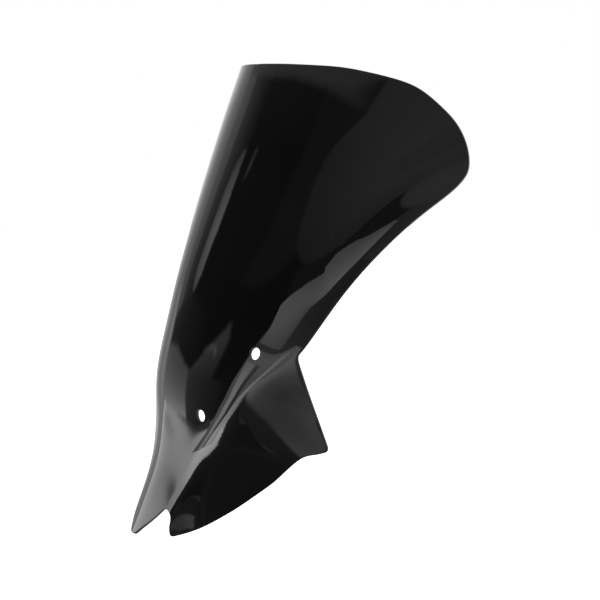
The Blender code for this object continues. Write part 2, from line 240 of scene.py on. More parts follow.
def soften(before, after, reach):
    """Join two runs, replacing the corner between them by a parabola of the given reach."""
    corner = before[-1]
    keep_before = before[np.hypot(*(before - corner).T) > reach]
    far = np.nonzero(np.hypot(*(after - corner).T) > reach)[0][0]
    keep_after = after[far:]
    t = np.linspace(0.0, 1.0, 14)[1:-1, None]
    curve = (1 - t) ** 2 * keep_before[-1] + 2 * t * (1 - t) * corner + t ** 2 * keep_after[0]
    return np.concatenate([keep_before, curve, keep_after])


def half_outline():
    """Dense outline of the left half from the nose tip round to the top, in (s, q)."""
    line = spline_run(OUTLINE[0][0])
    for (points, _), (_, reach) in zip(OUTLINE[1:], OUTLINE[:-1]):
        line = soften(line, spline_run(points), reach)
    return line


def paced(line, step, turn):
    """Resample a dense line with points closer together where it bends."""
    pieces = np.diff(line, axis=0)
    heading = np.unwrap(np.arctan2(pieces[:, 1], pieces[:, 0]))
    bend = np.abs(np.diff(heading, prepend=heading[0]))
    cost = np.hypot(pieces[:, 0], pieces[:, 1]) / step + bend / turn
    cost = np.concatenate([[0.0], np.cumsum(cost)])
    at = np.linspace(0.0, cost[-1], int(math.ceil(cost[-1])) + 1)
    return np.stack([np.interp(at, cost, line[:, k]) for k in (0, 1)], axis=1)


def hole_ring(s, q, radius, sides):
    """Ring in (s, q) that is a circle of the given radius on the formed sheet."""
    to_drawing = frame_at(s, q)[2]
    angle = 2.0 * math.pi * np.arange(sides) / sides
    circle = radius * np.stack([np.cos(angle), np.sin(angle)])
    return (to_drawing @ circle).T + np.array([s, q])


def inside(points, loop):
    """Which points lie inside the closed loop."""
    result = np.zeros(len(points), bool)
    for (ax, ay), (bx, by) in zip(loop, np.roll(loop, -1, axis=0)):
        if ay == by:
            continue
        crosses = (ay > points[:, 1]) != (by > points[:, 1])
        at = ax + (points[:, 1] - ay) * (bx - ax) / (by - ay)
        result ^= crosses & (points[:, 0] < at)
    return result


def clearance(points, loop, closed=True):
    """Shortest distance from each point to the loop, with loop sides cut into short steps."""
    following = np.roll(loop, -1, axis=0)
    parts = np.linspace(0.0, 1.0, 4)[:-1, None, None]
    dense = loop[None] * (1 - parts) + following[None] * parts
    if not closed:
        dense = dense[:, :-1]
    dense = dense.reshape(-1, 2)
    nearest = np.full(len(points), 1e9)
    for corner in dense:
        nearest = np.minimum(nearest, np.hypot(*(points - corner).T))
    return nearest


def sheet_layout():
    """Points and triangles of the left half in (s, q)."""
    edge = paced(half_outline(), EDGE_STEP, EDGE_TURN)
    edge[0, 0] = 0.0
    edge[-1, 0] = 0.0
    rows = int(round((edge[-1, 1] - edge[0, 1]) / GRID_Q))
    centre = np.linspace(edge[-1, 1], edge[0, 1], rows + 1)[1:-1]
    loop = np.concatenate([edge, np.stack([np.zeros(len(centre)), centre], axis=1)])
    rings = [hole_ring(s, q, HOLE_RADIUS, HOLE_SIDES) for _, s, q in HOLES]
    collars = [hole_ring(s, q, HOLE_RADIUS + COLLARS[0], HOLE_SIDES) for _, s, q in HOLES]
    collars += [hole_ring(s, q, HOLE_RADIUS + COLLARS[1], HOLE_SIDES // 2) for _, s, q in HOLES]
    across = np.arange(GRID_S, GRID_REACH, GRID_S)
    along = np.linspace(edge[0, 1], edge[-1, 1], rows + 1)
    along = np.concatenate([along, along[-1] + GRID_Q * np.arange(1, 8)])
    grid = np.stack(np.meshgrid(across, along), axis=-1).reshape(-1, 2)
    grid = grid[inside(grid, loop)]
    grid = grid[clearance(grid, edge, False) > EDGE_CLEAR]
    for collar in collars[len(rings):]:
        grid = grid[~inside(grid, collar)]
        grid = grid[clearance(grid, collar) > COLLAR_CLEAR]
    points = np.concatenate([loop] + rings + collars + [grid])
    sides = []
    first = 0
    for ring in [loop] + rings:
        count = len(ring)
        sides += [(first + i, first + (i + 1) % count) for i in range(count)]
        first += count
    made = delaunay_2d_cdt([Vector(p) for p in points], sides, [], 0, 1e-6)
    corners = np.array([tuple(p) for p in made[0]])
    triangles = np.array(made[2])
    middles = corners[triangles].mean(axis=1)
    keep = inside(middles, loop)
    for ring in rings:
        keep &= ~inside(middles, ring)
    return corners, triangles[keep], rings


# ---------------------------------------------------------------- mesh helpers
def new_piece(name, points, faces, materials, slots=None, normals=None):
    """Smooth mesh object from world millimetre points."""
    mesh = bpy.data.meshes.new(name)
    mesh.from_pydata([tuple(p) for p in np.asarray(points) * MM], [], [tuple(f) for f in faces])
    for material in materials:
        mesh.materials.append(material)
    if slots is not None:
        mesh.polygons.foreach_set("material_index", slots)
    mesh.shade_smooth()
    if normals is not None:
        mesh.normals_split_custom_set_from_vertices([tuple(n) for n in normals])
    mesh.update()
    piece = bpy.data.objects.new(name, mesh)
    bpy.context.scene.collection.objects.link(piece)
    return piece


def boundary_loops(faces):
    """Directed boundary edges of a triangle list as {start: end}."""
    seen = {(int(a), int(b)) for face in faces for a, b in zip(face, np.roll(face, -1))}
    return {a: b for a, b in seen if (b, a) not in seen}


# ---------------------------------------------------------------- sheet
def screen_sheet(acrylic, cut_edge):
    """Fine formed sheet: two smooth faces joined by a rounded, polished cut edge."""
    corners, triangles, rings = sheet_layout()
    used = np.unique(triangles)
    index = np.full(len(corners), -1)
    index[used] = np.arange(len(used))
    corners = corners[used]
    triangles = index[triangles]
    points, normals = surface(corners[:, 0], corners[:, 1])
    depth = normals.copy()
    for (_, s, q), ring in zip(HOLES, rings):
        axis = frame_at(s, q)[1]
        for p in ring:
            depth[int(np.argmin(np.hypot(*(corners - p).T)))] = axis
    on_centre = corners[:, 0] < 1e-6
    for field in (normals, depth):
        field[on_centre, 0] = 0.0
        field[on_centre] /= np.linalg.norm(field[on_centre], axis=1)[:, None]
    mirrored = np.full(len(corners), -1)
    mirrored[on_centre] = np.nonzero(on_centre)[0]
    mirrored[~on_centre] = len(corners) + np.arange(int((~on_centre).sum()))
    outer = np.concatenate([points, points[~on_centre] * MIRROR])
    facing = np.concatenate([normals, normals[~on_centre] * MIRROR])
    inward = np.concatenate([depth, depth[~on_centre] * MIRROR])
    faces = np.concatenate([triangles, mirrored[triangles][:, ::-1]])
    count = len(outer)
    inner = outer - SHEET_THICKNESS * inward
    following = boundary_loops(faces)
    before = {b: a for a, b in following.items()}
    rim = sorted(following)
    place = {v: i for i, v in enumerate(rim)}
    tangents = np.array([outer[following[v]] - outer[before[v]] for v in rim])
    away = np.cross(tangents, inward[rim])
    away /= np.linalg.norm(away, axis=1)[:, None]
    sharp = outer[rim].copy()
    depths = inward[rim]
    outer[rim] = sharp - EDGE_ROUND * away
    inner[rim] = sharp - SHEET_THICKNESS * depths - EDGE_ROUND * away
    verts = [outer, inner]
    directions = [facing, -facing]
    bows = []
    for base, sign in ((0.0, 1.0), (SHEET_THICKNESS, -1.0)):
        steps = EDGE_ARC if sign > 0 else EDGE_ARC[::-1]
        for angle in steps:
            a = math.radians(angle)
            drop = base + sign * EDGE_ROUND * (1.0 - math.cos(a))
            back = EDGE_ROUND * (1.0 - math.sin(a))
            bows.append((drop, back, math.sin(a), sign * math.cos(a)))
    for drop, back, out, up in bows:
        verts.append(sharp - drop * depths - back * away)
        directions.append(out * away + up * depths)
    rings_of = [rim] + [[2 * count + k * len(rim) + i for i in range(len(rim))]
                        for k in range(len(bows))] + [[v + count for v in rim]]
    solid = [tuple(int(i) for i in face) for face in faces]
    solid += [tuple(int(i) + count for i in face[::-1]) for face in faces]
    slots = [0] * len(solid)
    for upper, lower in zip(rings_of, rings_of[1:]):
        for a, b in following.items():
            i, j = place[a], place[b]
            solid.append((upper[j], upper[i], lower[i], lower[j]))
            slots.append(1)
    piece = new_piece("formed_sheet", np.concatenate(verts), solid, [acrylic, cut_edge], slots,
                      np.concatenate(directions))
    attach(piece, "root")
    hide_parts("screen_sheet")
    return piece


# ---------------------------------------------------------------- washers
def washer_level(s, q):
    """Height, along the hole axis, of the washer face that clears the curved inner face."""
    centre, normal, _ = frame_at(s, q)
    radii = (WASHER_BORE_RADIUS, 0.5 * (WASHER_BORE_RADIUS + WASHER_RADIUS), WASHER_RADIUS)
    ring = np.concatenate([hole_ring(s, q, radius, WASHER_PROBES) for radius in radii])
    points, normals = surface(ring[:, 0], ring[:, 1])
    behind = points - SHEET_THICKNESS * normals - centre
    return float((behind @ normal).min()) - GAP


def washer(hole, s, q, side, rubber):
    """Moulded rubber washer behind a fixing hole, with softened edges and a moulded groove."""
    centre, normal, _ = frame_at(s, q)
    top = washer_level(s, q)
    base = top - WASHER_THICKNESS
    bore = WASHER_BORE_RADIUS
    rim = WASHER_RADIUS
    # radius and height round the section: softened corners, a shallow groove in the rear face
    profile = [
        (bore, top - 0.35), (bore, base + 0.35), (bore + 0.1, base + 0.1), (bore + 0.35, base),
        (rim - 1.6, base), (rim - 1.45, base + 0.12), (rim - 1.0, base + 0.12),
        (rim - 0.85, base), (rim - 0.35, base), (rim - 0.1, base + 0.1), (rim, base + 0.35),
        (rim, top - 0.35), (rim - 0.1, top - 0.1), (rim - 0.35, top), (bore + 0.35, top),
        (bore + 0.1, top - 0.1),
    ]
    first = np.cross(normal, AXIS_X)
    first /= np.linalg.norm(first)
    second = np.cross(normal, first)
    points = []
    for k in range(WASHER_SIDES):
        angle = 2.0 * math.pi * k / WASHER_SIDES
        out = math.cos(angle) * first + math.sin(angle) * second
        points += [centre + radius * out + level * normal for radius, level in profile]
    size = len(profile)
    faces = []
    for k in range(WASHER_SIDES):
        here = k * size
        there = (k + 1) % WASHER_SIDES * size
        for i in range(size):
            j = (i + 1) % size
            faces.append((here + i, there + i, there + j, here + j))
    points = np.array(points)
    if side == "right":
        points = points * MIRROR
        faces = [face[::-1] for face in faces]
    piece = new_piece("rubber_washer_" + hole + "_" + side, points, faces, [rubber])
    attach(piece, "root")
    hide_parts("washer_" + hole + "_" + side)
    return piece


# ---------------------------------------------------------------- foam strips
def pad(node, start, end, width, mirror, foam):
    """Die-cut foam strip behind the sheet with round ends and a soft rear edge."""
    start = np.array(start)
    end = np.array(end)
    along = end - start
    length = float(np.hypot(*along))
    along = along / length
    across = np.array([-along[1], along[0]])
    half = width / 2.0
    rows = int(length / PAD_STEP)
    columns = PAD_COLUMNS
    spots = []
    for i in range(rows + 1):
        u = length * i / rows
        end_gap = min(u, length - u)
        trim = 0.0
        if end_gap < PAD_CORNER:
            inset = PAD_CORNER - end_gap
            trim = PAD_CORNER - math.sqrt(max(PAD_CORNER ** 2 - inset ** 2, 0.0))
        for j in range(columns + 1):
            sideways = (2.0 * j / columns - 1.0) * (half - trim)
            spots.append(start + along * u + across * sideways)
    spots = np.array(spots)
    points, normals = surface(spots[:, 0], spots[:, 1])
    u = np.repeat(np.linspace(0.0, length, rows + 1), columns + 1)
    v = np.tile(np.linspace(-half, half, columns + 1), rows + 1)
    edge = np.minimum(np.minimum(u, length - u), half - np.abs(v))
    soft = np.clip(edge / PAD_SOFT, 0.0, 1.0)
    swell = PAD_THICKNESS - PAD_DROP * (1.0 - soft) ** 2
    front = points - (SHEET_THICKNESS + GAP) * normals
    back = front - swell[:, None] * normals
    count = len(front)
    faces = []
    for i in range(rows):
        for j in range(columns):
            a = i * (columns + 1) + j
            b = a + columns + 1
            faces.append((a, b, b + 1, a + 1))
            faces.append((a + 1 + count, b + 1 + count, b + count, a + count))
    border = [i * (columns + 1) for i in range(rows + 1)]
    border += [rows * (columns + 1) + j for j in range(1, columns + 1)]
    border += [i * (columns + 1) + columns for i in range(rows - 1, -1, -1)]
    border += [j for j in range(columns - 1, 0, -1)]
    for a, b in zip(border, border[1:] + border[:1]):
        faces.append((b, a, a + count, b + count))
    points = np.concatenate([front, back])
    if mirror:
        points = points * MIRROR
        faces = [face[::-1] for face in faces]
    piece = new_piece(node + "_foam", points, faces, [foam])
    bevel = piece.modifiers.new("edge", "BEVEL")
    bevel.width = PAD_BEVEL * MM
    bevel.segments = 2
    bevel.limit_method = "ANGLE"
    bevel.angle_limit = math.radians(40.0)
    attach(piece, "root")
    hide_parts(node)
    return piece


# ---------------------------------------------------------------- material nodes
class Nodes:
    """Small helper for wiring a node tree."""

    def __init__(self, tree):
        self.tree = tree

    def add(self, kind, **settings):
        node = self.tree.nodes.new(kind)
        for name, value in settings.items():
            if name in node.inputs:
                node.inputs[name].default_value = value
            else:
                setattr(node, name, value)
        return node

    def link(self, source, target):
        self.tree.links.new(source, target)

    def noise(self, vector, scale, detail=3.0, roughness=0.5):
        node = self.add("ShaderNodeTexNoise")
        node.inputs["Scale"].default_value = scale
        node.inputs["Detail"].default_value = detail
        node.inputs["Roughness"].default_value = roughness
        self.link(vector, node.inputs["Vector"])
        return node.outputs["Fac"]

    def ramp(self, value, low, high, out_low, out_high, smooth=True):
        node = self.add("ShaderNodeMapRange")
        node.interpolation_type = "SMOOTHSTEP" if smooth else "LINEAR"
        node.inputs["From Min"].default_value = low
        node.inputs["From Max"].default_value = high
        node.inputs["To Min"].default_value = out_low
        node.inputs["To Max"].default_value = out_high
        self.link(value, node.inputs["Value"])
        return node.outputs["Result"]

    def math(self, operation, first, second=None):
        node = self.add("ShaderNodeMath")
        node.operation = operation
        for socket, value in zip(node.inputs, (first, second)):
            if value is None:
                continue
            if isinstance(value, (int, float)):
                socket.default_value = value
            else:
                self.link(value, socket)
        return node.outputs["Value"]

    def mix(self, factor, first, second):
        node = self.add("ShaderNodeMix")
        node.data_type = "RGBA"
        self.link(factor, node.inputs["Factor"])
        node.inputs[6].default_value = (*first, 1.0)
        node.inputs[7].default_value = (*second, 1.0)
        return node.outputs[2]

    def bump(self, height_value, distance, strength=1.0, normal=None):
        node = self.add("ShaderNodeBump")
        node.inputs["Strength"].default_value = strength
        node.inputs["Distance"].default_value = distance
        self.link(height_value, node.inputs["Height"])
        if normal is not None:
            self.link(normal, node.inputs["Normal"])
        return node.outputs["Normal"]


def new_material(name):
    """Material with an empty Principled tree; returns it, its helper, shader and coordinates."""
    material = bpy.data.materials.new(name)
    material.use_nodes = True
    nodes = Nodes(material.node_tree)
    shader = material.node_tree.nodes["Principled BSDF"]
    place = nodes.add("ShaderNodeTexCoord").outputs["Object"]
    return material, nodes, shader, place


def acrylic_material():
    """Polished black smoke acrylic: faint forming waves, wiping haze and hairline scratches."""
    material, nodes, shader, place = new_material("smoke_acrylic_gloss")
    tint = nodes.noise(place, 6.0, 2.0)
    colour = nodes.mix(nodes.ramp(tint, 0.35, 0.65, 0.0, 1.0), (0.0022, 0.0022, 0.0025),
                       (0.0034, 0.0034, 0.0038))
    nodes.link(colour, shader.inputs["Base Color"])
    haze = nodes.noise(place, 14.0, 4.0, 0.6)
    fine = nodes.noise(place, 420.0, 2.0)
    rough = nodes.math("ADD", nodes.ramp(haze, 0.4, 0.75, 0.030, 0.055),
                       nodes.ramp(fine, 0.4, 0.7, 0.0, 0.012))
    nodes.link(rough, shader.inputs["Roughness"])
    shader.inputs["IOR"].default_value = 1.49
    waves = nodes.noise(place, 22.0, 1.0)
    formed = nodes.bump(waves, 0.00012, 0.6)
    stretch = nodes.add("ShaderNodeMapping")
    stretch.inputs["Scale"].default_value = (900.0, 60.0, 60.0)
    stretch.inputs["Rotation"].default_value = (0.5, 0.2, 0.7)
    nodes.link(place, stretch.inputs["Vector"])
    scratch = nodes.noise(stretch.outputs["Vector"], 1.0, 2.0)
    hair = nodes.ramp(scratch, 0.70, 0.74, 0.0, 1.0)
    nodes.link(nodes.bump(hair, 0.000002, 0.5, formed), shader.inputs["Normal"])
    return material


def edge_material():
    """Sawn and flame-polished edge of the same sheet, slightly duller with a fine grain."""
    material, nodes, shader, place = new_material("acrylic_cut_edge")
    grain = nodes.noise(place, 900.0, 3.0)
    colour = nodes.mix(nodes.ramp(grain, 0.3, 0.7, 0.0, 1.0), (0.003, 0.003, 0.0035),
                       (0.007, 0.007, 0.008))
    nodes.link(colour, shader.inputs["Base Color"])
    nodes.link(nodes.ramp(grain, 0.3, 0.7, 0.16, 0.30), shader.inputs["Roughness"])
    shader.inputs["IOR"].default_value = 1.49
    nodes.link(nodes.bump(grain, 0.00002, 0.5), shader.inputs["Normal"])
    return material


def rubber_material():
    """Moulded black rubber with a fine sandblast grain and a little chalky bloom."""
    material, nodes, shader, place = new_material("moulded_rubber")
    bloom = nodes.noise(place, 90.0, 4.0, 0.6)
    grain = nodes.noise(place, 2600.0, 2.0)
    colour = nodes.mix(nodes.ramp(bloom, 0.45, 0.8, 0.0, 1.0), (0.010, 0.010, 0.010),
                       (0.026, 0.026, 0.025))
    nodes.link(colour, shader.inputs["Base Color"])
    nodes.link(nodes.ramp(bloom, 0.3, 0.8, 0.50, 0.68), shader.inputs["Roughness"])
    nodes.link(nodes.bump(grain, 0.00003, 0.6), shader.inputs["Normal"])
    return material


def foam_material():
    """Closed-cell foam: small rounded cells, matt charcoal."""
    material, nodes, shader, place = new_material("closed_cell_foam")
    cells = nodes.add("ShaderNodeTexVoronoi")
    cells.inputs["Scale"].default_value = 1500.0
    nodes.link(place, cells.inputs["Vector"])
    distance = cells.outputs["Distance"]
    mottled = nodes.noise(place, 600.0, 2.0)
    colour = nodes.mix(nodes.ramp(mottled, 0.3, 0.7, 0.0, 1.0), (0.026, 0.026, 0.028),
                       (0.036, 0.036, 0.038))
    nodes.link(colour, shader.inputs["Base Color"])
    nodes.link(nodes.ramp(distance, 0.1, 0.6, 0.95, 0.8), shader.inputs["Roughness"])
    nodes.link(nodes.bump(distance, 0.0002, 0.7), shader.inputs["Normal"])
    return material


# ---------------------------------------------------------------- studio
def band(nodes, value, low, high, soft):
    """1 between low and high, fading to 0 over soft on each side."""
    rise = nodes.ramp(value, low - soft, low + soft, 0.0, 1.0)
    fall = nodes.ramp(value, high - soft, high + soft, 1.0, 0.0)
    return nodes.math("MULTIPLY", rise, fall)


# azimuth is 0 at the front of the screen (-Y) and 90 on its left side (+X)
# each zone: azimuth low, high, soft, elevation low, high, soft, lean of the edges, brightness;
# a later zone covers the earlier ones
ZONES = (
    # right side, then the bright rear
    (-250, -62, 2, -90, 90, 1, 0.0, 0.45),
    (-250, -92, 12, -90, 90, 1, 0.0, 0.9),
    (118, 250, 12, -90, 90, 1, 0.0, 0.9),
    # dark front, with a small light in it
    (-62, -53, 1.2, 6, 60, 3, 0.0, 0.12),
    (-50, 25, 1.5, 4, 41, 1.5, 0.0, 0.05),
    (-62, -13, 3, 3, 14, 1.5, 0.0, 0.06),
    (-52, -44, 1.5, 13, 26, 3, 0.0, 0.8),
    # low on the right front
    (-75, -29, 1.5, -30, 3, 1.5, 0.0, 0.7),
    (-57, -31, 6, -16, -3, 4, 0.0, 2.2),
    (-29, -13, 1.5, -20, 6, 1.5, 0.0, 0.08),
    # middle and left front
    (-13, 0, 2, -25, 45, 3, 0.0, 1.0),
    (0, 45, 2, 20, 30, 3, 0.0, 0.2),
    (30, 45, 2, 25, 38, 3, 0.0, 0.35),
    # below: bright strip ahead, greyer on the left, dark underneath
    (-40, 10, 4, -38, -18, 1.2, 0.0, 3.5),
    (12, 60, 4, -60, -14, 3, 0.0, 0.35),
    (-10, 45, 3, -90, -35, 2, 0.7, 0.05),
    # overhead, all round
    (-180, 180, 5, 42, 90, 1.5, 0.0, 0.7),
)
BASE_LEVEL = 0.32
TENT_RADIUS = 0.9
TENT_CENTRE = (0.0, 0.04, 0.04)
DEGREES = 57.29578
FLOOR_RADIUS = 7.0
FLOOR_DROP = 0.45                       # how far the floor lies below the screen, in metres

# ---------------------------------------------------------------- near panels
# zones on planes facing the screen, each made of rows (v, u from, u to, brightness at each end)
# with straight edges between the rows, in mm; u grows to the screen's left and v upwards, and a
# later zone covers the earlier ones
PANEL_FACING = (-0.167, -0.919, 0.358)
BOARD_AT = (102.5, -101.1, 129.6)       # origin of u and v on the big panel ahead
BOARD_SIZE = (-300.0, 270.0, -600.0, 230.0)     # u from, u to, v from, v to
BOARD_STEP = 2.0
BOARD_BASE = 0.35                       # brightness between the zones
BOARD_SOFT = 2                          # times the zones' edges are smoothed
CARD_ROWS = 60
CARD_COLUMNS = 12
CARD_GAP = 0.5                          # each card lies this much nearer than the one before
BOARD = (
    # upright strips far to the right: grey, then dark
    ((-75, -232, -185, 0.20, 0.12), (186, -232, -185, 0.20, 0.12)),
    ((-50, -190, -158, .10, .05), (187, -190, -158, .12, .05)),
    # dark middle, and a slightly lighter zone on it
    ((-122, -132, -128, .04, .04), (-100, -165, -95, .04, .04), (-70, -162, 0, .035, .035),
     (-40, -160, 30, .035, .035), (0, -160, 50, .035, .04), (20, -160, 60, .035, .04),
     (35, -160, 30, .035, .04), (115, -160, 28, .035, .04), (150, -160, 50, .05, .06),
     (187, -160, 75, .06, .07)),
    ((-25, -58, -20, .07, .08), (30, -36, 27, .08, .09), (120, -22, 28, .08, .09),
     (187, -25, 75, .08, .1)),
    # dark zones under it, to the right and in the middle
    ((-118, -290, -130, .1, .05), (-95, -290, -110, .1, .05), (-60, -215, -110, .12, .05),
     (-48, -165, -150, .06, .05)),
    ((-215, -70, 20, .12, .12), (-124, -68, 20, .05, .05), (-100, -60, 20, .04, .04),
     (-60, -46, 20, .04, .04)),
    # grey between them, lighter upwards
    ((-221, -116, -99, .1, .1), (-215, -150, -78, .25, .1), (-190, -142, -62, .3, .1),
     (-126, -130, -48, .3, .12), (-124, -129, -68, .35, .2), (-100, -100, -60, .45, .3),
     (-70, -62, -46, .5, .5), (-60, -50, -48, .5, .5)),
    # long highlight on the right, and three small ones
    ((-45, -180, -172, .4, .6), (-25, -189, -162, .4, .8), (20, -190, -160, .45, 1.1),
     (60, -189, -160, .4, .8), (85, -186, -162, .3, .6), (105, -174, -164, .25, .4)),
    ((-97, -73, -70.5, .8, .8), (-85, -72, -68, 1.4, 1.4)),
    ((-94, -98, -90, .6, .6), (-86, -80, -72, 1.2, 1.2)),
    ((78, -138, -135, .3, .3), (90, -137, -131, .4, .4), (108, -134, -130, .4, .4)),
    # bright zones low on the right
    ((-216, -300, -150, .9, 2.0), (-190, -300, -143, .6, 1.3), (-160, -300, -135, .45, .9),
     (-125, -300, -130, .35, .6), (-114, -270, -160, .35, .5), (-108, -215, -190, .35, .45)),
    ((-300, -300, -30, 2.2, 5.4), (-245, -300, -20, 2.2, 4.4), (-222, -300, -150, 2.3, 2.3),
     (-214, -300, -230, 2.0, 1.7)),
    # lowest: dark, greyer on the left and near the middle
    ((-600, -60, 270, .05, .10), (-500, -60, 270, .05, .10), (-420, -60, 270, .05, .12),
     (-400, -60, 270, .06, .2), (-385, -60, 120, .08, .06), (-370, -50, 110, .1, .06),
     (-330, 30, 100, .1, .06), (-300, 75, 95, .08, .06)),
    ((-402, 210, 270, .1, .12), (-388, 142, 270, .11, .16), (-360, 112, 270, .14, .2),
     (-300, 92, 270, .16, .3), (-260, 60, 270, .18, .35), (-215, 58, 90, .2, .3)),
    ((-385, -8, 40, .12, .07), (-340, -8, 60, .14, .07), (-300, 5, 75, .2, .08),
     (-240, 15, 60, .3, .12)),
    # bright patch low in the middle, and a band rising from the low left to the middle
    ((-360, -45, -12, 5, 4.5), (-340, -60, -10, 6, 5.5), (-300, -60, 6, 6.5, 6),
     (-262, -60, 18, 5, 4.5), (-235, -60, 45, 3.4, 3.2), (-215, -60, 60, 2.4, 2.4)),
    ((-375, 200, 262, 1.0, 1.0), (-330, 165, 240, .7, .5), (-300, 140, 172, .5, .7),
     (-260, 100, 165, .8, .9), (-225, 70, 160, 1.8, 1.4), (-190, 50, 150, 2.2, 1.9),
     (-85, 20, 160, 1.9, 1.4)),
    # grey zones on the left, the upper one lighter towards the left
    ((-80, 60, 190, .16, .2), (0, 60, 185, .14, .2), (60, 95, 160, .2, .3)),
    ((22, 40, 60, .12, .2), (34, 26, 66, .16, .2), (50, 27, 80, .18, .22),
     (100, 28, 140, .2, .33), (118, 30, 170, .2, .38), (150, 52, 205, .25, .42),
     (187, 76, 205, .3, .42)),
    # strip along the top
    ((177, -300, -170, .3, .2), (183, -300, -100, .3, .2), (187, -300, -20, .3, .25),
     (190, -300, 60, .3, .4), (196, -300, 205, .3, .45), (230, -300, 205, .4, .5)),
)
# small cards beside the left ledge: origin of u and v in mm, then rows as above
LEDGE_LOW = (122.9, 11.0, 86.0)
LEDGE_HIGH = (146.6, 49.0, 125.8)
CARDS = (
    # grey ground, then the bright band on it
    (LEDGE_LOW, (
        (-58, -27, 55, .5, .3), (-44, -24, 60, .4, .3), (-30, -19, 62, .35, .25),
        (0, -8, 66, .3, .2), (40, 10, 70, .3, .2), (58, 20, 72, .3, .2))),
    (LEDGE_LOW, (
        (-44, -23, -6, 1.0, .8), (-30, -19, -2, 1.4, .7), (-10, -15, 6, 1.4, .9),
        (0, -11, 14, 1.3, 1.0), (12, -6, 33, 1.1, 1.6), (20, -3, 38, 1.0, 1.9),
        (40, 5, 42, .9, 2.0), (64, 17, 43, .7, 1.6))),
    # under the band: a lit zone, then a bright line, a dark line and a bright strip on it
    (LEDGE_LOW, (
        (-160, -68, -46, 1.0, 1.4), (-140, -54, -38, 1.2, 1.4), (-120, -44, -24, 1.2, 1.3),
        (-100, -37, -8, 1.1, 1.2), (-85, -34, 25, 1.1, 1.4), (-70, -30, 43, 1.2, 1.6),
        (-57, -27, 45, 1.3, 1.6), (-49, -25, 30, 1.0, 1.0))),
    (LEDGE_LOW, (
        (-160, -62, -58, 2.5, 3.0), (-140, -50, -46, 3.0, 3.0), (-120, -40, -34, 3.0, 3.0),
        (-100, -33, -27, 3.0, 3.0), (-80, -30, -24, 2.5, 2.5), (-62, -27, -22, 1.8, 1.8))),
    (LEDGE_LOW, (
        (-140, -46, -44, .4, .4), (-120, -34, -30, .4, .4), (-100, -27, -22, .4, .4),
        (-80, -23, -18, .5, .5), (-62, -20, -16, .6, .6))),
    (LEDGE_LOW, (
        (-160, -56, -46, 5.0, 4.0), (-140, -44, -37, 5.0, 4.0), (-120, -30, -24, 4.0, 3.5),
        (-100, -18, -8, 3.5, 3.0), (-85, -6, 4, 3.0, 2.5), (-70, 2, 14, 2.8, 2.2),
        (-55, 8, 25, 2.2, 2.0))),
    # upper end of the band, level with the ledge's upper part
    (LEDGE_HIGH, (
        (-30, -8, 4, 1.3, 1.9), (-15, -12, 14, 1.0, 1.9), (0, -9, 18, .9, 1.8),
        (20, -2, 21, .8, 1.7), (40, 10, 24, .8, 1.5), (53, 20, 26, .7, 1.0))),
)


def panel_axes():
    """Directions u (across), v (up) and n (away from the screen) of the near panels."""
    n = np.array(PANEL_FACING)
    n /= np.linalg.norm(n)
    u = np.cross([0.0, 0.0, 1.0], n)
    u /= np.linalg.norm(u)
    return u, np.cross(n, u), n


def row_levels(rows, u, v):
    """Which places lie in the zone given by rows, and the brightness there."""
    rows = np.array(rows, float)
    left, right, first, last = [np.interp(v, rows[:, 0], rows[:, k]) for k in (1, 2, 3, 4)]
    share = (u - left) / np.maximum(right - left, 1e-6)
    within = (v >= rows[0, 0]) & (v <= rows[-1, 0]) & (share >= 0.0) & (share <= 1.0)
    return within, first + (last - first) * share


def glow_material(name):
    """Light whose brightness is stored on the panel's points."""
    material = bpy.data.materials.new(name)
    material.use_nodes = True
    material.node_tree.nodes.clear()
    nodes = Nodes(material.node_tree)
    stored = nodes.add("ShaderNodeAttribute", attribute_name="level")
    light = nodes.add("ShaderNodeEmission")
    nodes.link(stored.outputs["Fac"], light.inputs["Strength"])
    output = nodes.add("ShaderNodeOutputMaterial")
    nodes.link(light.outputs[0], output.inputs["Surface"])
    material.cycles.emission_sampling = "NONE"
    return material


def panel(name, centre, u, v, levels, material):
    """Grid of panel points at (u, v) with a brightness each; only reflections see it."""
    across, up, _ = panel_axes()
    points = np.array(centre) + np.multiply.outer(u, across) + np.multiply.outer(v, up)
    rows, columns = u.shape
    corner = (np.arange(rows - 1)[:, None] * columns + np.arange(columns - 1)[None]).ravel()
    faces = np.stack([corner, corner + 1, corner + columns + 1, corner + columns], axis=1)
    mesh = bpy.data.meshes.new(name)
    mesh.from_pydata((points.reshape(-1, 3) * MM).tolist(), [], faces.tolist())
    mesh.attributes.new("level", "FLOAT", "POINT").data.foreach_set("value", levels.ravel())
    mesh.materials.append(material)
    thing = bpy.data.objects.new(name, mesh)
    bpy.context.scene.collection.objects.link(thing)
    thing.visible_camera = False
    thing.visible_shadow = False
    thing.visible_diffuse = False


